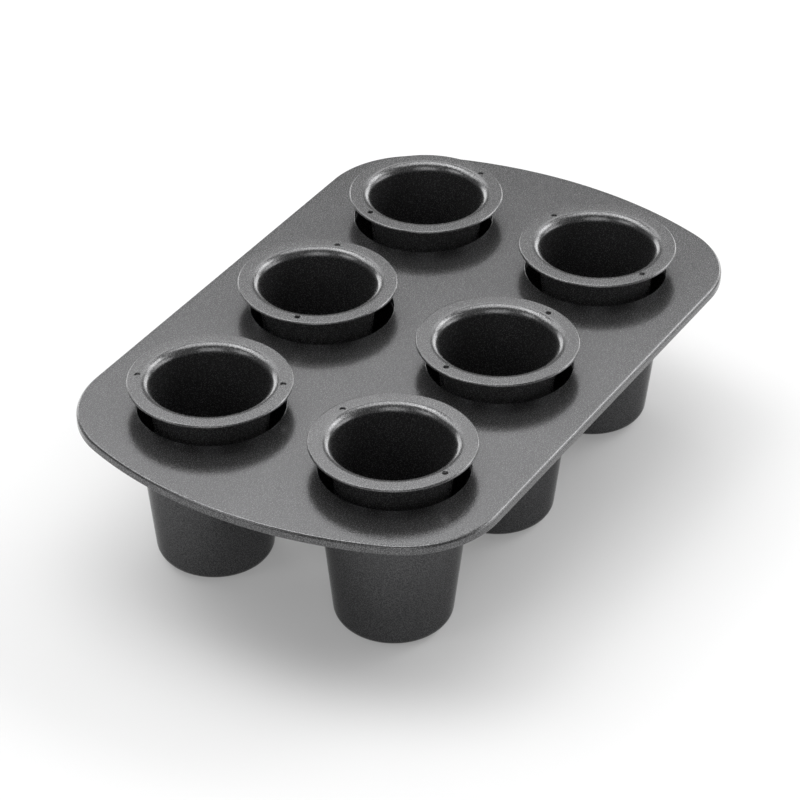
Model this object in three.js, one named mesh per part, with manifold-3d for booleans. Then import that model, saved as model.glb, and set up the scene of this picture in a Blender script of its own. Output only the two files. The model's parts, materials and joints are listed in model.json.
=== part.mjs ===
// Cookie shot glass pan: a skirted tray carries six drawn, tapered cups, and a loose
// flanged insert stands in each cup so that dough fills the gap between the two.
// Millimetres, +Z up. The origin is under the middle of the tray, on the plane that
// the cups stand on. +X runs along the tray and +Y across it.

import * as THREE from 'three';
import { mergeVertices } from 'three/addons/utils/BufferGeometryUtils.js';
import Module from 'manifold-3d';

// Tray sheet
const TRAY_LENGTH = 274.5;         // over the crowns of the bowed ends
const TRAY_WIDTH = 175.7;
const CORNER_RADIUS = 40;
const END_BOW_RADIUS = 167;
const SKIRT_DEPTH = 3.6;         // tray top to the lower edge of the skirt
const TRAY_EDGE_RADIUS = 1.3;    // outside of the bend from the top into the skirt
const TRAY_SHEET = 0.9;

// Cups, fixed under the tray
const CUP_PITCH = 80;
const CUP_DEPTH = 68.2;          // tray top to the plane that the cups stand on
const CUP_TAPER = THREE.MathUtils.degToRad(6.1);
const CUP_CORNER_RADIUS = 6;     // outside, between wall and floor
const CUP_SHEET = 0.9;
const CUP_RIM_WIDTH = 3.2;       // flange under the tray, outside the socket
const MOUTH_RADIUS = 28.4;       // inside the collar that the tray turns down into each cup
const MOUTH_EDGE_RADIUS = 0.8;
const COLLAR_DEPTH = 3.6;        // tray top to the lower edge of the collar

// Inserts, loose in the cups
const COOKIE_WALL = 6;           // level gap between an insert's wall and its cup's wall
const FLANGE_RISE = 11;          // flange top above the tray top
const FLANGE_WIDTH = 5.05;       // flat of the flange, outside the rounded lip
const LIP_RADIUS = 3.8;          // rounded edge from the flange into the insert
const INSERT_CORNER_RADIUS = 5;  // outside, between wall and floor
const INSERT_SHEET = 0.9;
const VENT_DIAMETER = 2.2;
const VENT_INSET = 3.85;         // flange edge to the centre of a vent hole

// Gap kept between pieces that touch
const JOINT_GAP = 0.3;

// Rows of cups across the tray, and the cups of a row along it
const ROWS = ['front', 'back'];
const COLUMNS = ['left', 'middle', 'right'];

// How each loose insert stands: its shift along X and Y as a share of the cookie wall,
// and the turn of its vent holes in degrees
const STANCE = {
  front_left: { along: -0.03, across: 0.075, turn: 73 },
  front_middle: { along: -0.21, across: 0.05, turn: 164 },
  front_right: { along: 0.1, across: -0.01, turn: 67 },
  back_left: { along: -0.09, across: 0, turn: 114 },
  back_middle: { along: -0.01, across: 0.33, turn: 15 },
  back_right: { along: 0.135, across: -0.11, turn: 155 },
};

// Facets
const ROUND_FACETS = 28;         // round a cup or an insert
const CORNER_FACETS = 8;         // round a tray corner
const BOW_FACETS = 10;           // along a bowed end
const BEND_FACETS = 3;           // across the bend at the tray's edge
const ARC_DIVISIONS = 1.5;       // half the facets across a corner or lip of a turned piece
const MOUTH_ARC_DIVISIONS = 1;
const VENT_FACETS = 8;
const WELD_TOLERANCE = 1e-4;
const CUT_MARGIN = 2;            // how far a cutting body runs past the sheet it cuts

// Levels and wall lines that the pieces share
const trayTop = CUP_DEPTH;
const collarRadius = MOUTH_RADIUS + TRAY_SHEET;
const coneTop = trayTop - COLLAR_DEPTH - JOINT_GAP;
const flangeTop = trayTop + FLANGE_RISE;
const insertFoot = CUP_SHEET + JOINT_GAP;

/** Level thickness of a tapered wall made of the given sheet. */
const levelThickness = (sheet) => sheet / Math.cos(CUP_TAPER);
const cupInside = (z) => MOUTH_RADIUS - (coneTop - z) * Math.tan(CUP_TAPER);
const cupOutside = (z) => cupInside(z) + levelThickness(CUP_SHEET);
const insertOutside = (z) => cupInside(z) - COOKIE_WALL;
const insertInside = (z) => insertOutside(z) - levelThickness(INSERT_SHEET);

/** Joins shared vertices and drops the triangles that a pole or a seam collapses. */
function weld(geometry) {
  geometry.deleteAttribute('normal');
  geometry.deleteAttribute('uv');
  const merged = mergeVertices(geometry, WELD_TOLERANCE);
  const corners = merged.index.array;
  const kept = [];
  for (let i = 0; i < corners.length; i += 3) {
    const [a, b, c] = corners.slice(i, i + 3);
    if (a !== b && b !== c && c !== a) kept.push(a, b, c);
  }
  merged.setIndex(kept);
  return merged;
}

const wasm = await Module();
wasm.setup();

/** A welded three.js geometry as a solid that can be joined and cut. */
function toSolid(geometry) {
  const welded = weld(geometry);
  return new wasm.Manifold(new wasm.Mesh({
    numProp: 3,
    vertProperties: Float32Array.from(welded.attributes.position.array),
    triVerts: Uint32Array.from(welded.index.array),
  }));
}

/** A finished solid as a three.js geometry. */
function toGeometry(solid) {
  const mesh = solid.getMesh();
  const geometry = new THREE.BufferGeometry();
  geometry.setAttribute('position', new THREE.BufferAttribute(mesh.vertProperties, 3));
  geometry.setIndex(new THREE.BufferAttribute(mesh.triVerts, 1));
  geometry.computeVertexNormals();
  return geometry;
}

/** Turns a half section, given as radius and height, about the Z axis. */
function turned(section, divisions) {
  return new THREE.LatheGeometry(section.getPoints(divisions), ROUND_FACETS).rotateX(Math.PI / 2);
}

/** The tray's outline as seen from above, moved in from its edge by a distance. */
function trayOutline(inset) {
  const bowX = TRAY_LENGTH / 2 - END_BOW_RADIUS;
  const cornerY = TRAY_WIDTH / 2 - CORNER_RADIUS;
  const between = END_BOW_RADIUS - CORNER_RADIUS;
  const cornerX = bowX + Math.sqrt(between ** 2 - cornerY ** 2);
  const meet = Math.asin(cornerY / between);
  const bow = END_BOW_RADIUS - inset;
  const corner = CORNER_RADIUS - inset;
  const arcs = [
    [bowX, 0, bow, -meet, meet, BOW_FACETS],
    [cornerX, cornerY, corner, meet, Math.PI / 2, CORNER_FACETS],
    [-cornerX, cornerY, corner, Math.PI / 2, Math.PI - meet, CORNER_FACETS],
    [-bowX, 0, bow, Math.PI - meet, Math.PI + meet, BOW_FACETS],
    [-cornerX, -cornerY, corner, Math.PI + meet, Math.PI * 1.5, CORNER_FACETS],
    [cornerX, -cornerY, corner, Math.PI * 1.5, Math.PI * 2 - meet, CORNER_FACETS],
  ];
  const points = arcs.flatMap(([x, y, radius, from, to, facets]) =>
    new THREE.EllipseCurve(x, y, radius, radius, from, to).getPoints(facets));
  const apart = (point, i) => point.distanceTo(points.at(i - 1)) > WELD_TOLERANCE;
  return new THREE.Shape(points.filter(apart));
}

/** A block with the tray's outline and a rounded upper edge, open to any depth below. */
function trayBlock(inset, top, edgeRadius, depth) {
  const block = new THREE.ExtrudeGeometry(trayOutline(inset), {
    depth,
    bevelThickness: edgeRadius,
    bevelSize: edgeRadius,
    bevelOffset: -edgeRadius,
    bevelSegments: BEND_FACETS,
  });
  return toSolid(block.translate(0, 0, top - edgeRadius - depth));
}

/** Cutting body for a cup's mouth: a straight bore with a rounded upper edge. */
function mouthCutter() {
  const section = new THREE.Path()
    .moveTo(0, coneTop - CUT_MARGIN)
    .lineTo(MOUTH_RADIUS, coneTop - CUT_MARGIN)
    .absarc(MOUTH_RADIUS + MOUTH_EDGE_RADIUS, trayTop - MOUTH_EDGE_RADIUS,
      MOUTH_EDGE_RADIUS, Math.PI, Math.PI / 2, true)
    .lineTo(MOUTH_RADIUS + MOUTH_EDGE_RADIUS, trayTop + CUT_MARGIN)
    .lineTo(0, trayTop + CUT_MARGIN);
  return toSolid(turned(section, MOUTH_ARC_DIVISIONS));
}

/** Solid core of one of the tray's collars, before its mouth is cut. */
function collarCore() {
  const height = COLLAR_DEPTH - TRAY_SHEET / 2;
  const core = new THREE.CylinderGeometry(collarRadius, collarRadius, height, ROUND_FACETS);
  return toSolid(core.rotateX(Math.PI / 2).translate(0, 0, trayTop - COLLAR_DEPTH + height / 2));
}

/** Pressed tray: flat top, turned-down skirt, and a short collar at each cup. */
function trayGeometry(cupCentres) {
  const deep = SKIRT_DEPTH + CUT_MARGIN;
  const outer = trayBlock(0, trayTop, TRAY_EDGE_RADIUS, deep);
  const inner = trayBlock(TRAY_SHEET, trayTop - TRAY_SHEET, TRAY_EDGE_RADIUS - TRAY_SHEET, deep * 2);
  const belowHeight = deep * 2;
  const below = new THREE.BoxGeometry(TRAY_LENGTH * 2, TRAY_WIDTH * 2, belowHeight)
    .translate(0, 0, trayTop - SKIRT_DEPTH - belowHeight / 2);
  let tray = outer.subtract(inner).subtract(toSolid(below));
  const collar = collarCore();
  const mouth = mouthCutter();
  for (const { x, y } of cupCentres) {
    tray = tray.add(collar.translate(x, y, 0)).subtract(mouth.translate(x, y, 0));
  }
  return toGeometry(tray);
}

/** Drawn cup: floor, tapered wall, and a rim stepped out to take the tray's collar. */
function cupGeometry() {
  const socketInside = collarRadius + JOINT_GAP;
  const socketOutside = socketInside + CUP_SHEET;
  const rimTop = trayTop - TRAY_SHEET - JOINT_GAP;
  const rimUnder = rimTop - CUP_SHEET;
  const rimRadius = socketOutside + CUP_RIM_WIDTH;
  const stepUnder = coneTop - CUP_SHEET;
  const cornerR = cupOutside(CUP_CORNER_RADIUS) - levelThickness(CUP_CORNER_RADIUS);
  const section = new THREE.Path()
    .moveTo(0, 0)
    .lineTo(cornerR, 0)
    .absarc(cornerR, CUP_CORNER_RADIUS, CUP_CORNER_RADIUS, -Math.PI / 2, -CUP_TAPER)
    .lineTo(cupOutside(stepUnder), stepUnder)
    .lineTo(socketOutside, stepUnder)
    .lineTo(socketOutside, rimUnder)
    .lineTo(rimRadius, rimUnder)
    .lineTo(rimRadius, rimTop)
    .lineTo(socketInside, rimTop)
    .lineTo(socketInside, coneTop)
    .lineTo(cupInside(coneTop), coneTop)
    .absarc(cornerR, CUP_CORNER_RADIUS, CUP_CORNER_RADIUS - CUP_SHEET, -CUP_TAPER, -Math.PI / 2, true)
    .lineTo(0, CUP_SHEET);
  return weld(turned(section, ARC_DIVISIONS));
}

/** Drawn insert: floor, tapered wall, rounded lip, and a flat flange with two vent holes. */
function insertGeometry() {
  const cornerZ = insertFoot + INSERT_CORNER_RADIUS;
  const cornerR = insertOutside(cornerZ) - levelThickness(INSERT_CORNER_RADIUS);
  const lipZ = flangeTop - LIP_RADIUS;
  const lipR = insertInside(lipZ) + levelThickness(LIP_RADIUS);
  const flangeRadius = lipR + FLANGE_WIDTH;
  const flangeUnder = flangeTop - INSERT_SHEET;
  const section = new THREE.Path()
    .moveTo(0, insertFoot)
    .lineTo(cornerR, insertFoot)
    .absarc(cornerR, cornerZ, INSERT_CORNER_RADIUS, -Math.PI / 2, -CUP_TAPER)
    .absarc(lipR, lipZ, LIP_RADIUS - INSERT_SHEET, Math.PI - CUP_TAPER, Math.PI / 2, true)
    .lineTo(flangeRadius, flangeUnder)
    .lineTo(flangeRadius, flangeTop)
    .absarc(lipR, lipZ, LIP_RADIUS, Math.PI / 2, Math.PI - CUP_TAPER)
    .absarc(cornerR, cornerZ, INSERT_CORNER_RADIUS - INSERT_SHEET, -CUP_TAPER, -Math.PI / 2, true)
    .lineTo(0, insertFoot + INSERT_SHEET);
  const drill = new THREE.CylinderGeometry(VENT_DIAMETER / 2, VENT_DIAMETER / 2,
    INSERT_SHEET + CUT_MARGIN, VENT_FACETS);
  const vent = toSolid(drill.rotateX(Math.PI / 2).translate(0, 0, flangeTop - INSERT_SHEET / 2));
  const ventRadius = flangeRadius - VENT_INSET;
  return toGeometry(toSolid(turned(section, ARC_DIVISIONS))
    .subtract(vent.translate(ventRadius, 0, 0))
    .subtract(vent.translate(-ventRadius, 0, 0)));
}

/** Charcoal non-stick coating, the same on every piece. */
const coating = () => new THREE.MeshStandardMaterial({ color: 0x3d3e40, roughness: 0.38, metalness: 0.6 });

/** One named piece of the pan. */
function piece(name, geometry) {
  const mesh = new THREE.Mesh(geometry, coating());
  mesh.name = name;
  return mesh;
}

/** Place of one of a line of cups, one pitch apart and centred on the tray. */
const pitched = (index, line) => (index - (line.length - 1) / 2) * CUP_PITCH;

const places = ROWS.flatMap((row, r) => COLUMNS.map((column, c) =>
  ({ name: `${row}_${column}`, x: pitched(c, COLUMNS), y: pitched(r, ROWS) })));

const pan = new THREE.Group();
pan.add(piece('tray', trayGeometry(places)));

const cupShape = cupGeometry();
const insertShape = insertGeometry();
for (const { name, x, y } of places) {
  const cup = piece(`cup_${name}`, cupShape);
  cup.position.set(x, y, 0);

  const { along, across, turn } = STANCE[name];
  const insert = piece(`insert_${name}`, insertShape);
  insert.position.set(x + along * COOKIE_WALL, y + across * COOKIE_WALL, 0);
  insert.rotation.z = THREE.MathUtils.degToRad(turn);

  pan.add(cup, insert);
}

export default pan;
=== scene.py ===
"""Visual model of the cookie shot glass pan: a coated tray, six drawn cups and six loose inserts.

Every piece is one sheet of metal, so it is made from a section with rounded bends: turned about
its axis for a cup or an insert, and swept round the outline for the tray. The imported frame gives
each piece its place. Sizes in the classes are millimetres, and MM turns them into Blender's metres.
"""

import json
import logging
import math
from collections.abc import Iterator, Mapping, Sequence
from dataclasses import dataclass, field
from enum import Enum
from typing import ClassVar

import bmesh
import bpy
from mathutils import Matrix, Vector

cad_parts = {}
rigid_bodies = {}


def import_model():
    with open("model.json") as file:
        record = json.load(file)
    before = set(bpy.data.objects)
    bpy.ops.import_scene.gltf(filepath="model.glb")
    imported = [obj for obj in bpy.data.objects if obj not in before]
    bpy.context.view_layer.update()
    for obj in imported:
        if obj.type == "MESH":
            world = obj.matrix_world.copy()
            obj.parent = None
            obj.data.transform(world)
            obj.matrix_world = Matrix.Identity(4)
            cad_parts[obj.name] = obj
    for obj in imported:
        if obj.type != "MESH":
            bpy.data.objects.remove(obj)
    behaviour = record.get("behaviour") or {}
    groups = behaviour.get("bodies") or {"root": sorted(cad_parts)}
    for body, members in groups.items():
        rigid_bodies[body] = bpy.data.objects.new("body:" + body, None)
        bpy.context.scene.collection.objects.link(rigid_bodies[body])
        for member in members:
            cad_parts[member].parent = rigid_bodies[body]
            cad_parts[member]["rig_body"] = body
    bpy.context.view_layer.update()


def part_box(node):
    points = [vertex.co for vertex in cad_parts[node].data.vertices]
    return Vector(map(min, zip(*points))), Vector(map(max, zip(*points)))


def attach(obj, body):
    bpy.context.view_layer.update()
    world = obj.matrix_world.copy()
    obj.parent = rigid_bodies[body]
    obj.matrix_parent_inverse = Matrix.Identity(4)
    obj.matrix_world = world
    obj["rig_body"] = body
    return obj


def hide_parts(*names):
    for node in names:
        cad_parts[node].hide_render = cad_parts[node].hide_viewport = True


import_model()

MM = 0.001
BEND = "bend"
WELD_DISTANCE = 1e-6

Colour = tuple[float, float, float, float]

# What an input of a node takes: a socket to link, a list of sockets, or a value
Feed = object

log = logging.getLogger("cookie_pan")


class Place(Enum):
    """The six cups, by row and column."""

    FRONT_LEFT = "front_left"
    FRONT_MIDDLE = "front_middle"
    FRONT_RIGHT = "front_right"
    BACK_LEFT = "back_left"
    BACK_MIDDLE = "back_middle"
    BACK_RIGHT = "back_right"


class Socket(Enum):
    """Kinds of sockets on the node groups."""

    GEOMETRY = "NodeSocketGeometry"
    OBJECT = "NodeSocketObject"
    MATERIAL = "NodeSocketMaterial"
    NUMBER = "NodeSocketFloat"
    COUNT = "NodeSocketInt"
    VECTOR = "NodeSocketVector"
    COLOUR = "NodeSocketColor"


class Wiring(Enum):
    """Kinds of node groups."""

    GEOMETRY = "GeometryNodeTree"
    SHADER = "ShaderNodeTree"


class Nodes:
    """A node tree that is being wired up."""

    def __init__(self, tree: bpy.types.NodeTree) -> None:
        """Takes the tree that nodes are added to."""
        self.tree = tree

    @classmethod
    def group(cls, name: str, kind: Wiring, inputs: Mapping[str, Socket],
              outputs: Mapping[str, Socket]) -> tuple["Nodes", bpy.types.NodeOutputs]:
        """Starts a node group with named sockets.

        Args:
            name: Name of the group.
            kind: Whether its nodes make geometry or shading.
            inputs: Name and kind of each input.
            outputs: Name and kind of each output.

        Returns:
            The tree to wire up, and the sockets that carry the group's inputs.
        """
        nodes = cls(bpy.data.node_groups.new(name, kind.value))
        for label, socket in inputs.items():
            nodes.tree.interface.new_socket(label, in_out="INPUT", socket_type=socket.value)
        for label, socket in outputs.items():
            nodes.tree.interface.new_socket(label, in_out="OUTPUT", socket_type=socket.value)
        return nodes, nodes.add("NodeGroupInput")

    def add(self, kind: str, feeds: Mapping[str | int, Feed] | None = None,
            **options: object) -> bpy.types.NodeOutputs:
        """Adds a node.

        Args:
            kind: Blender's type name of the node.
            feeds: For each input, by name or index, the socket to link or the value to set.
            options: Settings of the node itself.

        Returns:
            The node's output sockets.
        """
        node = self.tree.nodes.new(kind)
        for option, value in options.items():
            setattr(node, option, value)
        for label, feed in (feeds or {}).items():
            links = feed if isinstance(feed, list) else [feed]
            for item in links:
                if isinstance(item, bpy.types.NodeSocket):
                    self.tree.links.new(item, node.inputs[label])
                else:
                    node.inputs[label].default_value = item
        return node.outputs

    def math(self, operation: str, first: Feed, second: Feed = 0.0) -> bpy.types.NodeSocket:
        """Adds a Math node and returns its result."""
        return self.add("ShaderNodeMath", {0: first, 1: second}, operation=operation)[0]

    def mix(self, share: Feed, first: Feed, second: Feed, blend: str = "MIX") -> bpy.types.NodeSocket:
        """Mixes two colours by a share and returns the result."""
        return self.add("ShaderNodeMix", {0: share, 6: first, 7: second},
                        data_type="RGBA", blend_type=blend)[2]

    def step(self, value: Feed, low: Feed, high: Feed) -> bpy.types.NodeSocket:
        """Returns a smooth step from 0 to 1 as a value goes from low to high."""
        return self.add("ShaderNodeMapRange", {"Value": value, "From Min": low, "From Max": high},
                        interpolation_type="SMOOTHSTEP")[0]

    def deliver(self, **results: bpy.types.NodeSocket) -> bpy.types.NodeTree:
        """Links the results to the group's outputs and returns the finished tree."""
        self.add("NodeGroupOutput", results)
        return self.tree


class SheetTrees:
    """Geometry node trees that form sheet metal from sections with rounded bends."""

    AXIS_RADIUS: ClassVar[float] = 0.01

    def __init__(self) -> None:
        """Builds the trees, each from the ones before it."""
        self.profile = self.profile_tree()
        self.turned = self.turned_tree()
        self.cup = self.cup_tree()
        self.insert = self.insert_tree()
        self.tray = self.tray_tree()

    def profile_tree(self) -> bpy.types.NodeTree:
        """Builds the tree that rounds the corners of a section.

        Returns:
            A tree that takes a chain of edges in the XZ plane, moves it and lays it flat as a curve.
        """
        nodes, given = Nodes.group(
            "rounded section", Wiring.GEOMETRY,
            {"Section": Socket.GEOMETRY, "Bend Facets": Socket.COUNT, "Shift": Socket.VECTOR},
            {"Profile": Socket.GEOMETRY})
        bend = nodes.add("GeometryNodeInputNamedAttribute", {"Name": BEND}, data_type="FLOAT")
        chain = nodes.add("GeometryNodeMeshToCurve", {"Mesh": given["Section"]})
        rounded = nodes.add("GeometryNodeFilletCurve", {
            "Curve": chain["Curve"],
            "Count": given["Bend Facets"],
            "Radius": bend["Attribute"],
            "Limit Radius": True,
        }, mode="POLY")
        flat = nodes.add("GeometryNodeTransform", {
            "Geometry": rounded["Curve"],
            "Translation": given["Shift"],
            "Rotation": (math.pi / 2, 0.0, 0.0),
        })
        return nodes.deliver(Profile=flat["Geometry"])

    def turned_tree(self) -> bpy.types.NodeTree:
        """Builds the tree that turns a section about the Z axis.

        Returns:
            A tree that takes a section and puts out a mesh with its seam and poles closed.
        """
        nodes, given = Nodes.group(
            "turned sheet", Wiring.GEOMETRY,
            {"Section": Socket.GEOMETRY, "Facets": Socket.COUNT, "Bend Facets": Socket.COUNT},
            {"Sheet": Socket.GEOMETRY})
        profile = nodes.add("GeometryNodeGroup", {
            "Section": given["Section"],
            "Bend Facets": given["Bend Facets"],
            "Shift": (-self.AXIS_RADIUS, 0.0, 0.0),
        }, node_tree=self.profile)
        path = nodes.add("GeometryNodeCurvePrimitiveCircle", {
            "Resolution": given["Facets"],
            "Radius": self.AXIS_RADIUS,
        })
        swept = nodes.add("GeometryNodeCurveToMesh", {
            "Curve": path["Curve"],
            "Profile Curve": profile["Profile"],
        })
        outward = nodes.add("GeometryNodeFlipFaces", {"Mesh": swept["Mesh"]})
        welded = nodes.add("GeometryNodeMergeByDistance", {
            "Geometry": outward["Mesh"],
            "Distance": WELD_DISTANCE,
        })
        return nodes.deliver(Sheet=welded["Geometry"])

    def coated(self, nodes: Nodes, sheet: bpy.types.NodeSocket, given: bpy.types.NodeOutputs,
               ) -> bpy.types.NodeTree:
        """Ends a tree: shades the sheet smooth, puts it in its place and gives it its coating.

        Args:
            nodes: The tree to end.
            sheet: The formed sheet.
            given: The tree's inputs, with the sheet's Centre and Material.

        Returns:
            The finished tree.
        """
        placed = nodes.add("GeometryNodeTransform", {
            "Geometry": sheet,
            "Translation": given["Centre"],
        })
        smooth = nodes.add("GeometryNodeSetShadeSmooth", {"Geometry": placed["Geometry"]})
        real = nodes.add("GeometryNodeRealizeInstances", {"Geometry": smooth["Geometry"]})
        coated = nodes.add("GeometryNodeSetMaterial", {
            "Geometry": real["Geometry"],
            "Material": given["Material"],
        })
        return nodes.deliver(Sheet=coated["Geometry"])

    def cup_tree(self) -> bpy.types.NodeTree:
        """Builds the tree of a drawn cup.

        Returns:
            A tree that takes the cup's section.
        """
        nodes, given = Nodes.group(
            "drawn cup", Wiring.GEOMETRY,
            {"Section": Socket.GEOMETRY, "Facets": Socket.COUNT, "Bend Facets": Socket.COUNT,
             "Centre": Socket.VECTOR, "Material": Socket.MATERIAL},
            {"Sheet": Socket.GEOMETRY})
        sheet = nodes.add("GeometryNodeGroup", {
            "Section": given["Section"],
            "Facets": given["Facets"],
            "Bend Facets": given["Bend Facets"],
        }, node_tree=self.turned)
        return self.coated(nodes, sheet["Sheet"], given)

    def insert_tree(self) -> bpy.types.NodeTree:
        """Builds the tree of a drawn insert, whose flange is pierced by two vent holes.

        Returns:
            A tree that takes the insert's section, and the section of the punch for its holes.
        """
        nodes, given = Nodes.group(
            "vented insert", Wiring.GEOMETRY,
            {"Section": Socket.GEOMETRY, "Facets": Socket.COUNT, "Bend Facets": Socket.COUNT,
             "Punch": Socket.OBJECT, "Punch Facets": Socket.COUNT, "Vent Spacing": Socket.NUMBER,
             "Turn": Socket.VECTOR, "Centre": Socket.VECTOR, "Material": Socket.MATERIAL},
            {"Sheet": Socket.GEOMETRY})
        sheet = nodes.add("GeometryNodeGroup", {
            "Section": given["Section"],
            "Facets": given["Facets"],
            "Bend Facets": given["Bend Facets"],
        }, node_tree=self.turned)
        drawn = nodes.add("GeometryNodeObjectInfo", {"Object": given["Punch"]})
        punch = nodes.add("GeometryNodeGroup", {
            "Section": drawn["Geometry"],
            "Facets": given["Punch Facets"],
            "Bend Facets": given["Bend Facets"],
        }, node_tree=self.turned)
        pair = nodes.add("GeometryNodeMeshGrid", {
            "Size X": given["Vent Spacing"],
            "Vertices X": 2,
            "Vertices Y": 1,
        })
        punches = nodes.add("GeometryNodeInstanceOnPoints", {
            "Points": pair["Mesh"],
            "Instance": punch["Sheet"],
        })
        turned = nodes.add("GeometryNodeTransform", {
            "Geometry": punches["Instances"],
            "Rotation": given["Turn"],
        })
        pierced = nodes.add("GeometryNodeMeshBoolean", {
            "Mesh 1": sheet["Sheet"],
            "Mesh 2": turned["Geometry"],
        }, operation="DIFFERENCE", solver="EXACT")
        creased = nodes.add("GeometryNodeSetShadeSmooth", {
            "Geometry": pierced["Mesh"],
            "Selection": pierced["Intersecting Edges"],
            "Shade Smooth": False,
        }, domain="EDGE")
        return self.coated(nodes, creased["Geometry"], given)

    def tray_tree(self) -> bpy.types.NodeTree:
        """Builds the tree of the tray: a rim swept round an outline, and a grid of collars.

        Returns:
            A tree that takes the outline, and closes the flats between the rim and the collars.
        """
        nodes, given = Nodes.group(
            "pressed tray", Wiring.GEOMETRY,
            {"Outline": Socket.GEOMETRY, "Rim Section": Socket.OBJECT, "Collar Section": Socket.OBJECT,
             "Columns": Socket.COUNT, "Rows": Socket.COUNT, "Pitch": Socket.NUMBER,
             "Top": Socket.NUMBER, "Underside": Socket.NUMBER, "Facets": Socket.COUNT,
             "Bend Facets": Socket.COUNT, "Centre": Socket.VECTOR, "Material": Socket.MATERIAL},
            {"Sheet": Socket.GEOMETRY})
        rim_section = nodes.add("GeometryNodeObjectInfo", {"Object": given["Rim Section"]})
        profile = nodes.add("GeometryNodeGroup", {
            "Section": rim_section["Geometry"],
            "Bend Facets": given["Bend Facets"],
        }, node_tree=self.profile)
        path = nodes.add("GeometryNodeMeshToCurve", {"Mesh": given["Outline"]})
        rim = nodes.add("GeometryNodeCurveToMesh", {
            "Curve": path["Curve"],
            "Profile Curve": profile["Profile"],
        })
        collar_section = nodes.add("GeometryNodeObjectInfo", {"Object": given["Collar Section"]})
        collar = nodes.add("GeometryNodeGroup", {
            "Section": collar_section["Geometry"],
            "Facets": given["Facets"],
            "Bend Facets": given["Bend Facets"],
        }, node_tree=self.turned)
        grid = nodes.add("GeometryNodeMeshGrid", {
            "Size X": nodes.math("MULTIPLY", given["Pitch"], nodes.math("SUBTRACT", given["Columns"], 1)),
            "Size Y": nodes.math("MULTIPLY", given["Pitch"], nodes.math("SUBTRACT", given["Rows"], 1)),
            "Vertices X": given["Columns"],
            "Vertices Y": given["Rows"],
        })
        collars = nodes.add("GeometryNodeInstanceOnPoints", {
            "Points": grid["Mesh"],
            "Instance": collar["Sheet"],
        })
        bends = nodes.add("GeometryNodeJoinGeometry", {
            "Geometry": [rim["Mesh"], nodes.add("GeometryNodeRealizeInstances",
                                                {"Geometry": collars["Instances"]})["Geometry"]],
        })
        flats = [self.flat(nodes, bends["Geometry"], given[own], given[other])
                 for own, other in (("Top", "Underside"), ("Underside", "Top"))]
        joined = nodes.add("GeometryNodeJoinGeometry", {"Geometry": [bends["Geometry"], *flats]})
        welded = nodes.add("GeometryNodeMergeByDistance", {
            "Geometry": joined["Geometry"],
            "Distance": WELD_DISTANCE,
        })
        return self.coated(nodes, welded["Geometry"], given)

    def flat(self, nodes: Nodes, bends: bpy.types.NodeSocket, level: bpy.types.NodeSocket,
             other: bpy.types.NodeSocket) -> bpy.types.NodeSocket:
        """Fills one flat of the tray between the open edges that lie at its level.

        Args:
            nodes: The tray's tree.
            bends: The rim and the collars, open at both flats.
            level: Height of this flat.
            other: Height of the other flat.

        Returns:
            The filled flat.
        """
        faces = nodes.add("GeometryNodeInputMeshEdgeNeighbors")
        open_edge = nodes.add("FunctionNodeCompare", {2: faces["Face Count"], 3: 1},
                              data_type="INT", operation="EQUAL")
        place = nodes.add("GeometryNodeInputPosition")["Position"]
        height = nodes.add("ShaderNodeSeparateXYZ", {"Vector": place})["Z"]
        from_own = nodes.math("ABSOLUTE", nodes.math("SUBTRACT", height, level))
        from_other = nodes.math("ABSOLUTE", nodes.math("SUBTRACT", height, other))
        near = nodes.math("LESS_THAN", from_own, from_other)
        both = nodes.add("FunctionNodeBooleanMath", {0: open_edge["Result"], 1: near}, operation="AND")
        loops = nodes.add("GeometryNodeMeshToCurve", {"Mesh": bends, "Selection": both["Boolean"]})
        filled = nodes.add("GeometryNodeFillCurve", {"Curve": loops["Curve"]}, mode="TRIANGLES")
        lift = nodes.add("ShaderNodeCombineXYZ", {"Z": level})
        return nodes.add("GeometryNodeSetPosition", {
            "Geometry": filled["Mesh"],
            "Offset": lift["Vector"],
        })["Geometry"]


@dataclass(frozen=True)
class Corner:
    """Corner of a sheet's section: distance from the axis, height, and radius of its bend."""

    out: float
    height: float
    bend: float = 0.0


def edge_chain(name: str, points: Sequence[Vector], closed: bool = False) -> bpy.types.Object:
    """Draws a chain of edges as an object.

    Args:
        name: Name of the object.
        points: The chain's points, in metres.
        closed: Whether the last point joins the first.

    Returns:
        The object, linked to the scene so that trees can run on it.
    """
    pairs = [(i, i + 1) for i in range(len(points) - 1)]
    if closed:
        pairs.append((len(points) - 1, 0))
    mesh = bpy.data.meshes.new(name)
    mesh.from_pydata(points, pairs, [])
    drawn = bpy.data.objects.new(name, mesh)
    bpy.context.scene.collection.objects.link(drawn)
    return drawn


def section(name: str, corners: Sequence[Corner]) -> bpy.types.Object:
    """Draws a section in the XZ plane.

    Args:
        name: Name of the object.
        corners: The section's corners, in millimetres.

    Returns:
        The drawn section, with the radius of each bend as an attribute.
    """
    drawn = edge_chain(name, [Vector((c.out, 0.0, c.height)) * MM for c in corners])
    bends = drawn.data.attributes.new(BEND, "FLOAT", "POINT")
    bends.data.foreach_set("value", [c.bend * MM for c in corners])
    return drawn


def evaluated_mesh(obj: bpy.types.Object) -> bpy.types.Mesh:
    """Returns a plain mesh of an object with its modifiers applied."""
    depsgraph = bpy.context.evaluated_depsgraph_get()
    return bpy.data.meshes.new_from_object(obj.evaluated_get(depsgraph), depsgraph=depsgraph)


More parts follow.
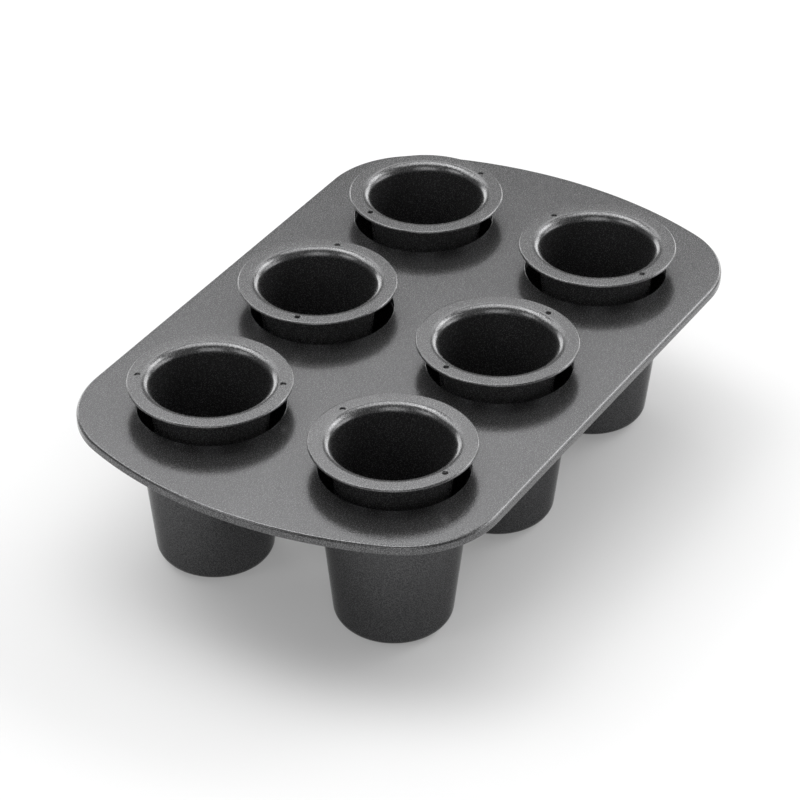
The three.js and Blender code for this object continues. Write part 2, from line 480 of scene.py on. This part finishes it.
def formed(name: str, drawn: bpy.types.Object, tree: bpy.types.NodeTree,
           inputs: Mapping[str, object]) -> bpy.types.Object:
    """Forms a piece by running a tree on a drawn section or outline.

    Args:
        name: Name of the piece.
        drawn: What the tree works from; it is used up.
        tree: The geometry node tree.
        inputs: Values of the tree's named inputs.

    Returns:
        The piece as a plain mesh, with outward faces and flats that are shaded flat.
    """
    maker = drawn.modifiers.new(tree.name, "NODES")
    maker.node_group = tree
    for item in tree.interface.items_tree:
        if item.name in inputs and item.in_out == "INPUT":
            maker[item.identifier] = inputs[item.name]
    mesh = evaluated_mesh(drawn)
    bpy.data.objects.remove(drawn)

    faces = bmesh.new()
    faces.from_mesh(mesh)
    bmesh.ops.recalc_face_normals(faces, faces=faces.faces)
    faces.to_mesh(mesh)
    faces.free()

    piece = bpy.data.objects.new(name, mesh)
    bpy.context.scene.collection.objects.link(piece)
    weights = piece.modifiers.new("flat shading", "WEIGHTED_NORMAL")
    weights.keep_sharp = True
    piece.data = evaluated_mesh(piece)
    piece.modifiers.remove(weights)
    return piece


def dress(piece: bpy.types.Object, body: str, node: str) -> None:
    """Fixes a piece to the frame.

    Args:
        piece: The finished piece.
        body: The body that it moves with.
        node: The CAD node that it stands for.
    """
    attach(piece, body)
    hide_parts(node)


def middle(node: str) -> tuple[float, float, float]:
    """Returns the place on the floor plane under the middle of a CAD node, in metres."""
    low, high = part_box(node)
    return ((low.x + high.x) / 2, (low.y + high.y) / 2, 0.0)


@dataclass(frozen=True)
class TaperedWall:
    """Straight tapered wall, by its radius at one height."""

    radius: float
    height: float
    taper: float

    def at(self, height: float) -> float:
        """Returns the wall's radius at a height."""
        return self.radius - (self.height - height) * math.tan(math.radians(self.taper))

    def moved(self, level: float) -> "TaperedWall":
        """Returns a wall that is larger by a level distance."""
        return TaperedWall(self.radius + level, self.height, self.taper)

    def thickened(self, sheet: float) -> "TaperedWall":
        """Returns the other face of a sheet on this wall; a negative sheet lies inside."""
        return self.moved(sheet / math.cos(math.radians(self.taper)))


@dataclass(frozen=True)
class SpeckledCoating:
    """Speckled non-stick coating, in the tones set for one kind of piece.

    A piece may have less metal in its coating where it faces down, which paints those faces lighter:
    painted light that stands in for light bounced up under them.
    """

    LIGHT_FLECKS: ClassVar[tuple[float, float]] = (0.47, 0.60)
    DARK_FLECKS: ClassVar[tuple[float, float]] = (0.46, 0.28)
    FLECK_RELIEF: ClassVar[float] = 0.4
    CLOUD_SCALE: ClassVar[float] = 30.0
    CLOUD_SHADES: ClassVar[tuple[float, float]] = (0.88, 1.12)
    # Width in normal Z over which down-facing faces take the painted lighter, less metallic coating
    PAINTED_UNDERSIDE_EDGE: ClassVar[float] = 0.05

    name: str
    coat: Colour
    light_fleck: Colour
    dark_fleck: Colour
    metal: float = 0.92
    # Metal share on down-facing faces; set below metal, it paints them lighter as painted light
    painted_underside_light_metal: float | None = None
    gloss: float = 0.12
    fleck_gloss: float = 0.28
    haze: float = 0.5
    haze_gloss: float = 0.5
    edge_sheen: float = 1.0
    fleck_scale: float = 2300.0
    peel_scale: float = 1300.0
    peel_depth: float = 0.042

    @classmethod
    def speckle_group(cls) -> bpy.types.NodeTree:
        """Builds the shared shader group of flecks and orange peel.

        Returns:
            A group that puts out the coating's colour, roughness and height.
        """
        nodes, given = Nodes.group(
            "speckled coating", Wiring.SHADER,
            {"Coat": Socket.COLOUR, "Light Fleck": Socket.COLOUR, "Dark Fleck": Socket.COLOUR,
             "Fleck Scale": Socket.NUMBER, "Peel Scale": Socket.NUMBER,
             "Gloss": Socket.NUMBER, "Fleck Gloss": Socket.NUMBER},
            {"Color": Socket.COLOUR, "Roughness": Socket.NUMBER, "Height": Socket.NUMBER})
        place = nodes.add("ShaderNodeTexCoord")["Object"]
        flecks = nodes.add("ShaderNodeTexNoise", {
            "Vector": place,
            "Scale": given["Fleck Scale"],
            "Detail": 1.0,
        })["Fac"]
        peel = nodes.add("ShaderNodeTexNoise", {
            "Vector": place,
            "Scale": given["Peel Scale"],
            "Detail": 2.0,
        })["Fac"]
        clouds = nodes.add("ShaderNodeTexNoise", {
            "Vector": place,
            "Scale": cls.CLOUD_SCALE,
            "Detail": 3.0,
        })["Fac"]
        light = nodes.step(flecks, *cls.LIGHT_FLECKS)
        dark = nodes.step(flecks, *cls.DARK_FLECKS)
        lightened = nodes.mix(light, given["Coat"], given["Light Fleck"])
        speckled = nodes.mix(dark, lightened, given["Dark Fleck"])
        darkest, lightest = cls.CLOUD_SHADES
        shade = nodes.add("ShaderNodeMapRange", {
            "Value": clouds,
            "To Min": darkest,
            "To Max": lightest,
        })["Result"]
        colour = nodes.mix(1.0, speckled, shade, blend="MULTIPLY")
        rougher = nodes.math("SUBTRACT", given["Fleck Gloss"], given["Gloss"])
        gloss = nodes.math("ADD", given["Gloss"], nodes.math("MULTIPLY", light, rougher))
        height = nodes.math("ADD", peel, nodes.math("MULTIPLY", flecks, cls.FLECK_RELIEF))
        return nodes.deliver(Color=colour, Roughness=gloss, Height=height)

    def metal_feed(self, nodes: Nodes) -> Feed:
        """Wires up the share of metal in the coating.

        Args:
            nodes: The material's tree.

        Returns:
            The plain share, or a socket with less metal where the piece faces down, which paints those
            faces lighter.
        """
        if self.painted_underside_light_metal is None:
            return self.metal
        # Down-facing faces get less metal here: painted light under them
        normal = nodes.add("ShaderNodeNewGeometry")["Normal"]
        return nodes.add("ShaderNodeMapRange", {
            "Value": nodes.add("ShaderNodeSeparateXYZ", {"Vector": normal})["Z"],
            "From Min": self.PAINTED_UNDERSIDE_EDGE,
            "From Max": -self.PAINTED_UNDERSIDE_EDGE,
            "To Min": self.metal,
            "To Max": self.painted_underside_light_metal,
        }, interpolation_type="SMOOTHSTEP")["Result"]

    def material(self, group: bpy.types.NodeTree) -> bpy.types.Material:
        """Makes the coating's material.

        Args:
            group: The shared speckle group.

        Returns:
            The material.
        """
        material = bpy.data.materials.new(self.name)
        material.use_nodes = True
        nodes = Nodes(material.node_tree)
        nodes.tree.nodes.clear()
        speckle = nodes.add("ShaderNodeGroup", {
            "Coat": self.coat,
            "Light Fleck": self.light_fleck,
            "Dark Fleck": self.dark_fleck,
            "Fleck Scale": self.fleck_scale,
            "Peel Scale": self.peel_scale,
            "Gloss": self.gloss,
            "Fleck Gloss": self.fleck_gloss,
        }, node_tree=group)
        peel = nodes.add("ShaderNodeBump", {
            "Height": speckle["Height"],
            "Distance": self.peel_depth * MM,
            "Strength": 1.0,
        })
        coated = nodes.add("ShaderNodeBsdfPrincipled", {
            "Base Color": speckle["Color"],
            "Roughness": speckle["Roughness"],
            "Metallic": self.metal_feed(nodes),
            "Specular Tint": (self.edge_sheen, self.edge_sheen, self.edge_sheen, 1.0),
            "Coat Weight": self.haze,
            "Coat Roughness": self.haze_gloss,
            "Normal": peel["Normal"],
        })
        nodes.add("ShaderNodeOutputMaterial", {"Surface": coated["BSDF"]})
        return material


@dataclass(frozen=True)
class Facets:
    """How finely the visual meshes are divided."""

    round: int = 128
    bend: int = 12
    punch: int = 32
    bow: int = 48
    corner: int = 24


@dataclass(frozen=True)
class Tray:
    """Pressed tray: flat top, bowed ends, turned-down skirt, and a collar for each cup."""

    corner_radius: float = 40.0
    bow_radius: float = 167.0
    edge_radius: float = 1.3
    sheet: float = 0.9
    cut_edge: float = 0.3
    pitch: float = 80.0
    columns: int = 3
    rows: int = 2
    mouth_radius: float = 28.4
    mouth_edge: float = 0.5
    collar_depth: float = 3.6
    flat_margin: float = 1.5
    facets: Facets = Facets()
    node: str = "tray"

    @property
    def top(self) -> float:
        """Height of the tray's top, from the frame."""
        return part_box(self.node)[1].z / MM

    @property
    def skirt_foot(self) -> float:
        """Height of the skirt's lower edge, from the frame."""
        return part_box(self.node)[0].z / MM

    @property
    def underside(self) -> float:
        """Height of the lower face of the tray's flat."""
        return self.top - self.sheet

    def outline(self) -> Iterator[Vector]:
        """Goes round the outline, anticlockwise from the right-hand end.

        Yields:
            Each point, in metres.
        """
        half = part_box(self.node)[1] / MM
        bow_x = half.x - self.bow_radius
        corner_y = half.y - self.corner_radius
        between = self.bow_radius - self.corner_radius
        corner_x = bow_x + math.sqrt(between ** 2 - corner_y ** 2)
        meet = math.asin(corner_y / between)
        quarter, turn = math.pi / 2, math.pi
        arcs = (
            (bow_x, 0.0, self.bow_radius, -meet, meet, self.facets.bow),
            (corner_x, corner_y, self.corner_radius, meet, quarter, self.facets.corner),
            (-corner_x, corner_y, self.corner_radius, quarter, turn - meet, self.facets.corner),
            (-bow_x, 0.0, self.bow_radius, turn - meet, turn + meet, self.facets.bow),
            (-corner_x, -corner_y, self.corner_radius, turn + meet, 3 * quarter, self.facets.corner),
            (corner_x, -corner_y, self.corner_radius, 3 * quarter, 2 * turn - meet, self.facets.corner),
        )
        straight_ends = (quarter, 3 * quarter)
        for x, y, radius, start, stop, facets in arcs:
            count = facets + 1 if stop in straight_ends else facets
            for i in range(count):
                angle = start + (stop - start) * i / facets
                yield Vector((x + radius * math.cos(angle), y + radius * math.sin(angle), 0.0)) * MM

    def rim_section(self) -> list[Corner]:
        """Gives the section of the tray's edge.

        Returns:
            The section's corners, measured out from the outline.
        """
        inside = -self.sheet
        margin = -self.edge_radius - self.flat_margin
        return [
            Corner(margin, self.top),
            Corner(0.0, self.top, self.edge_radius),
            Corner(0.0, self.skirt_foot, self.cut_edge),
            Corner(inside, self.skirt_foot, self.cut_edge),
            Corner(inside, self.underside, self.edge_radius - self.sheet),
            Corner(margin, self.underside),
        ]

    def collar_section(self) -> list[Corner]:
        """Gives the section of the collar round a mouth.

        Returns:
            The section's corners, measured out from the mouth's axis.
        """
        foot = self.top - self.collar_depth
        outside = self.mouth_radius + self.sheet
        margin = outside + self.flat_margin
        return [
            Corner(margin, self.top),
            Corner(self.mouth_radius, self.top, self.mouth_edge),
            Corner(self.mouth_radius, foot, self.cut_edge),
            Corner(outside, foot, self.cut_edge),
            Corner(outside, self.underside, self.cut_edge),
            Corner(margin, self.underside),
        ]

    def build(self, trees: SheetTrees, coating: bpy.types.Material) -> bpy.types.Object:
        """Builds and dresses the tray.

        Args:
            trees: The trees that form sheet metal.
            coating: The tray's material.

        Returns:
            The finished piece.
        """
        rim = section("tray_rim_section", self.rim_section())
        collar = section("tray_collar_section", self.collar_section())
        piece = formed("coated_tray", edge_chain("tray_outline", list(self.outline()), closed=True),
                       trees.tray, {
                           "Rim Section": rim,
                           "Collar Section": collar,
                           "Columns": self.columns,
                           "Rows": self.rows,
                           "Pitch": self.pitch * MM,
                           "Top": self.top * MM,
                           "Underside": self.underside * MM,
                           "Facets": self.facets.round,
                           "Bend Facets": self.facets.bend,
                           "Centre": middle(self.node),
                           "Material": coating,
                       })
        bpy.data.objects.remove(rim)
        bpy.data.objects.remove(collar)
        dress(piece, "pan", self.node)
        return piece


@dataclass(frozen=True)
class Cup:
    """Drawn cup: flat floor, tapered wall, and a rim stepped out round the tray's collar."""

    place: Place
    wall: TaperedWall
    sheet: float = 0.9
    corner_radius: float = 6.0
    socket_radius: float = 29.6
    rim_width: float = 3.2
    bend: float = 0.6
    cut_edge: float = 0.3
    facets: Facets = Facets()

    @property
    def node(self) -> str:
        """Name of the CAD node that the cup stands for."""
        return f"cup_{self.place.value}"

    def section(self) -> list[Corner]:
        """Gives the cup's section.

        Returns:
            The corners from the floor's underside over the rim to the floor's inside.
        """
        rim_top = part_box(self.node)[1].z / MM
        rim_under = rim_top - self.sheet
        step_top = self.wall.height
        step_under = step_top - self.sheet
        outside = self.wall.thickened(self.sheet)
        socket_outside = self.socket_radius + self.sheet
        rim_radius = socket_outside + self.rim_width
        return [
            Corner(0.0, 0.0),
            Corner(outside.at(0.0), 0.0, self.corner_radius),
            Corner(outside.at(step_under), step_under, self.bend),
            Corner(socket_outside, step_under, self.bend),
            Corner(socket_outside, rim_under, self.bend),
            Corner(rim_radius, rim_under, self.cut_edge),
            Corner(rim_radius, rim_top, self.cut_edge),
            Corner(self.socket_radius, rim_top, self.cut_edge),
            Corner(self.socket_radius, step_top, self.cut_edge),
            Corner(self.wall.at(step_top), step_top, self.cut_edge),
            Corner(self.wall.at(self.sheet), self.sheet, self.corner_radius - self.sheet),
            Corner(0.0, self.sheet),
        ]

    def build(self, trees: SheetTrees, coating: bpy.types.Material) -> bpy.types.Object:
        """Builds and dresses the cup.

        Args:
            trees: The trees that form sheet metal.
            coating: The cup's material.

        Returns:
            The finished piece.
        """
        piece = formed(f"coated_{self.node}", section(f"{self.node}_section", self.section()), trees.cup, {
            "Facets": self.facets.round,
            "Bend Facets": self.facets.bend,
            "Centre": middle(self.node),
            "Material": coating,
        })
        dress(piece, "pan", self.node)
        return piece


@dataclass(frozen=True)
class Insert:
    """Loose drawn insert: flat floor, tapered wall, rounded lip, and a flange with two vent holes."""

    place: Place
    wall: TaperedWall
    vent_turn: float
    sheet: float = 0.9
    corner_radius: float = 5.0
    lip_radius: float = 3.8
    flange_width: float = 5.05
    top_edge: float = 0.75
    cut_edge: float = 0.1
    vent_radius: float = 1.1
    vent_inset: float = 3.85
    vent_edge: float = 0.15
    punch_travel: float = 1.0
    facets: Facets = Facets()

    @property
    def node(self) -> str:
        """Name of the CAD node that the insert stands for."""
        return f"insert_{self.place.value}"

    @property
    def foot(self) -> float:
        """Height of the underside of the insert's floor, from the frame."""
        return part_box(self.node)[0].z / MM

    @property
    def flange_top(self) -> float:
        """Height of the top of the flange, from the frame."""
        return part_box(self.node)[1].z / MM

    @property
    def flange_radius(self) -> float:
        """Outside radius of the flange."""
        lip_centre = self.wall.thickened(self.lip_radius - self.sheet)
        return lip_centre.at(self.flange_top - self.lip_radius) + self.flange_width

    def section(self) -> list[Corner]:
        """Gives the insert's section.

        Returns:
            The corners from the floor's underside over the flange to the floor's inside.
        """
        inside = self.wall.thickened(-self.sheet)
        flange_under = self.flange_top - self.sheet
        floor = self.foot + self.sheet
        return [
            Corner(0.0, self.foot),
            Corner(self.wall.at(self.foot), self.foot, self.corner_radius),
            Corner(self.wall.at(flange_under), flange_under, self.lip_radius - self.sheet),
            Corner(self.flange_radius, flange_under, self.cut_edge),
            Corner(self.flange_radius, self.flange_top, self.top_edge),
            Corner(inside.at(self.flange_top), self.flange_top, self.lip_radius),
            Corner(inside.at(floor), floor, self.corner_radius - self.sheet),
            Corner(0.0, floor),
        ]

    def punch_section(self) -> list[Corner]:
        """Gives the section of the punch for a vent hole.

        Returns:
            The corners, which flare where the sheet is drawn in at the hole.
        """
        low = self.flange_top - self.sheet - self.punch_travel
        high = self.flange_top + self.punch_travel
        flared = self.vent_radius + self.vent_edge
        return [
            Corner(0.0, low),
            Corner(self.vent_radius, low),
            Corner(self.vent_radius, self.flange_top - self.vent_edge),
            Corner(flared, self.flange_top),
            Corner(flared, high),
            Corner(0.0, high),
        ]

    def build(self, trees: SheetTrees, coating: bpy.types.Material) -> bpy.types.Object:
        """Builds and dresses the insert.

        Args:
            trees: The trees that form sheet metal.
            coating: The insert's material.

        Returns:
            The finished piece.
        """
        punch = section(f"{self.node}_punch", self.punch_section())
        vent_spacing = 2 * (self.flange_radius - self.vent_inset)
        piece = formed(f"coated_{self.node}", section(f"{self.node}_section", self.section()),
                       trees.insert, {
                           "Facets": self.facets.round,
                           "Bend Facets": self.facets.bend,
                           "Punch": punch,
                           "Punch Facets": self.facets.punch,
                           "Vent Spacing": vent_spacing * MM,
                           "Turn": (0.0, 0.0, math.radians(self.vent_turn)),
                           "Centre": middle(self.node),
                           "Material": coating,
                       })
        bpy.data.objects.remove(punch)
        dress(piece, self.node, self.node)
        return piece


@dataclass(frozen=True)
class SoftPanel:
    """Round soft panel of studio light, by its direction and half-angle in degrees."""

    azimuth: float
    elevation: float
    half_angle: float
    feather: float
    strength: float

    def axis(self) -> Vector:
        """Returns the direction from the object towards the panel."""
        turn, rise = math.radians(self.azimuth), math.radians(self.elevation)
        return Vector((math.sin(turn) * math.cos(rise), -math.cos(turn) * math.cos(rise), math.sin(rise)))

    def wire(self, nodes: Nodes, direction: bpy.types.NodeSocket) -> bpy.types.NodeSocket:
        """Adds the panel to the world's nodes.

        Args:
            nodes: The world's tree.
            direction: The direction in which the world is looked at.

        Returns:
            The panel's light in that direction.
        """
        facing = nodes.add("ShaderNodeVectorMath", {0: direction, 1: self.axis()},
                           operation="DOT_PRODUCT")["Value"]
        outer = math.cos(math.radians(self.half_angle + self.feather))
        inner = math.cos(math.radians(max(self.half_angle - self.feather, 0.0)))
        return nodes.math("MULTIPLY", nodes.step(facing, outer, inner), self.strength)


@dataclass(frozen=True)
class SoftStrip(SoftPanel):
    """Soft panel that is trimmed to a level strip."""

    half_height: float
    edge: float

    def wire(self, nodes: Nodes, direction: bpy.types.NodeSocket) -> bpy.types.NodeSocket:
        """Adds the strip to the world's nodes.

        Args:
            nodes: The world's tree.
            direction: The direction in which the world is looked at.

        Returns:
            The strip's light in that direction.
        """
        panel = super().wire(nodes, direction)
        height = nodes.add("ShaderNodeSeparateXYZ", {"Vector": direction})["Z"]
        low, high = self.elevation - self.half_height, self.elevation + self.half_height
        trims = ((low - self.edge, low + self.edge), (high + self.edge, high - self.edge))
        for dark, lit in trims:
            trim = nodes.step(height, math.sin(math.radians(dark)), math.sin(math.radians(lit)))
            panel = nodes.math("MULTIPLY", panel, trim)
        return panel


@dataclass(frozen=True)
class Studio:
    """Pale floor and plain soft light round the pan."""

    ambient: float = 0.2
    panels: tuple[SoftPanel, ...] = (
        SoftPanel(azimuth=120.0, elevation=80.0, half_angle=11.0, feather=20.0, strength=3.4),
        SoftStrip(azimuth=120.0, elevation=39.6, half_angle=62.0, feather=12.0, strength=2.6,
                  half_height=7.0, edge=2.5),
        SoftPanel(azimuth=88.0, elevation=11.0, half_angle=13.0, feather=6.0, strength=3.6),
        SoftPanel(azimuth=152.0, elevation=11.0, half_angle=13.0, feather=6.0, strength=3.6),
        SoftPanel(azimuth=66.0, elevation=34.0, half_angle=10.0, feather=9.0, strength=4.2),
        SoftPanel(azimuth=36.0, elevation=9.0, half_angle=17.0, feather=10.0, strength=2.4),
        SoftPanel(azimuth=-174.0, elevation=60.0, half_angle=12.0, feather=9.0, strength=4.2),
        SoftPanel(azimuth=-120.0, elevation=30.0, half_angle=10.0, feather=9.0, strength=2.0),
        SoftPanel(azimuth=-60.0, elevation=27.0, half_angle=18.0, feather=9.0, strength=1.4),
    )
    floor_radius: float = 4000.0
    floor_facets: int = 96
    floor_colour: Colour = (0.7, 0.7, 0.7, 1.0)
    floor_glow: float = 0.2

    def build_world(self) -> None:
        """Lights the scene from all round."""
        world = bpy.data.worlds.new("soft_studio")
        world.use_nodes = True
        nodes = Nodes(world.node_tree)
        nodes.tree.nodes.clear()
        direction = nodes.add("ShaderNodeTexCoord")["Generated"]
        light: Feed = self.ambient
        for panel in self.panels:
            light = nodes.math("ADD", light, panel.wire(nodes, direction))
        sky = nodes.add("ShaderNodeBackground", {"Color": light})
        nodes.add("ShaderNodeOutputWorld", {"Surface": sky["Background"]})
        bpy.context.scene.world = world

    def floor_material(self) -> bpy.types.Material:
        """Makes the floor's material, with a share of plain white where the floor is seen.

        Returns:
            The material.
        """
        material = bpy.data.materials.new("pale_floor")
        material.use_nodes = True
        nodes = Nodes(material.node_tree)
        nodes.tree.nodes.clear()
        pale = nodes.add("ShaderNodeBsdfDiffuse", {"Color": self.floor_colour})
        white = nodes.add("ShaderNodeEmission", {"Strength": 1.0})
        ray = nodes.add("ShaderNodeLightPath")
        seen = nodes.math("MAXIMUM", ray["Is Camera Ray"],
                          nodes.math("MAXIMUM", ray["Is Glossy Ray"], ray["Is Transmission Ray"]))
        floor_look = nodes.add("ShaderNodeMixShader", {
            0: nodes.math("MULTIPLY", seen, self.floor_glow),
            1: pale["BSDF"],
            2: white["Emission"],
        })
        nodes.add("ShaderNodeOutputMaterial", {"Surface": floor_look["Shader"]})
        return material

    def build_floor(self) -> bpy.types.Object:
        """Lays the pale floor.

        Returns:
            The floor.
        """
        disc = bmesh.new()
        bmesh.ops.create_circle(disc, cap_ends=True, radius=self.floor_radius * MM,
                                segments=self.floor_facets)
        mesh = bpy.data.meshes.new("floor")
        disc.to_mesh(mesh)
        disc.free()
        mesh.materials.append(self.floor_material())
        floor = bpy.data.objects.new("floor", mesh)
        bpy.context.scene.collection.objects.link(floor)
        return floor


@dataclass(frozen=True)
class PhotoCamera:
    """Camera at the photograph's viewing angle; azimuth 0 looks along +Y."""

    azimuth: float = -59.855
    elevation: float = 34.04
    roll: float = 0.35
    target: tuple[float, float, float] = (-42.08, -20.23, 68.2)
    distance: float = 1235.8
    lens: float = 147.03

    def build(self) -> bpy.types.Object:
        """Places the camera and makes it the scene's.

        Returns:
            The camera.
        """
        turn, rise, roll = (math.radians(a) for a in (self.azimuth, self.elevation, self.roll))
        back = Vector((math.sin(turn) * math.cos(rise), -math.cos(turn) * math.cos(rise), math.sin(rise)))
        level = Vector((math.cos(turn), math.sin(turn), 0.0))
        upright = back.cross(level)
        right = level * math.cos(roll) + upright * math.sin(roll)
        up = upright * math.cos(roll) - level * math.sin(roll)
        data = bpy.data.cameras.new("photo_camera")
        data.lens = self.lens
        camera = bpy.data.objects.new("photo_camera", data)
        bpy.context.scene.collection.objects.link(camera)
        stand = (Vector(self.target) + back * self.distance) * MM
        camera.matrix_world = Matrix.Translation(stand) @ Matrix((right, up, back)).transposed().to_4x4()
        bpy.context.scene.camera = camera
        return camera


@dataclass(frozen=True)
class CookiePan:
    """The whole pan: one tray, and a cup and an insert at each place."""

    taper: float = 6.1
    cone_top: float = 64.3
    mouth_radius: float = 28.4
    cookie_wall: float = 6.0
    vent_turns: Mapping[Place, float] = field(default_factory=lambda: {
        Place.FRONT_LEFT: 73.0,
        Place.FRONT_MIDDLE: 164.0,
        Place.FRONT_RIGHT: 67.0,
        Place.BACK_LEFT: 114.0,
        Place.BACK_MIDDLE: 15.0,
        Place.BACK_RIGHT: 155.0,
    })
    # The tray, cups and inserts have one coating; these are three tones of it, set for how each kind of
    # piece is lit
    tray_coating: SpeckledCoating = SpeckledCoating(
        "tray_speckled_coating", coat=(0.075, 0.0755, 0.077, 1.0),
        light_fleck=(0.132, 0.132, 0.134, 1.0), dark_fleck=(0.038, 0.038, 0.040, 1.0))
    # Darker coat and lower edge sheen on the cups: painted shade for the shadowed floor they reflect
    cup_coating: SpeckledCoating = SpeckledCoating(
        "cup_shaded_speckled_coating", coat=(0.062, 0.0625, 0.064, 1.0),
        light_fleck=(0.098, 0.098, 0.100, 1.0), dark_fleck=(0.040, 0.040, 0.042, 1.0),
        haze=0.1, edge_sheen=0.6)
    # Lighter coat on the inserts: painted light on the flanges
    insert_coating: SpeckledCoating = SpeckledCoating(
        "insert_lit_speckled_coating", coat=(0.088, 0.0885, 0.090, 1.0),
        light_fleck=(0.155, 0.155, 0.157, 1.0), dark_fleck=(0.045, 0.045, 0.047, 1.0),
        # Less metal where the inserts face down paints the wall under each flange lighter
        metal=0.87, painted_underside_light_metal=0.67)

    def build(self) -> Iterator[bpy.types.Object]:
        """Builds the pieces: the tray, then the cups, then the inserts.

        Yields:
            Each finished piece.
        """
        trees = SheetTrees()
        speckle = SpeckledCoating.speckle_group()
        yield Tray(mouth_radius=self.mouth_radius).build(trees, self.tray_coating.material(speckle))
        cup_wall = TaperedWall(self.mouth_radius, self.cone_top, self.taper)
        insert_wall = cup_wall.moved(-self.cookie_wall)
        cup_material = self.cup_coating.material(speckle)
        insert_material = self.insert_coating.material(speckle)
        for place in Place:
            yield Cup(place, cup_wall).build(trees, cup_material)
        for place in Place:
            yield Insert(place, insert_wall, self.vent_turns[place]).build(trees, insert_material)


def main() -> None:
    """Builds the pan, the studio and the camera, and logs each piece."""
    logging.basicConfig(level=logging.INFO, format="%(name)s: %(message)s")
    bpy.context.scene.view_settings.view_transform = "Standard"
    for piece in CookiePan().build():
        log.info("%s, %d faces, on %s", piece.name, len(piece.data.polygons), piece["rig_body"])
    studio = Studio()
    studio.build_world()
    log.info("%s", studio.build_floor().name)
    log.info("%s", PhotoCamera().build().name)


if __name__ == "__main__":
    main()
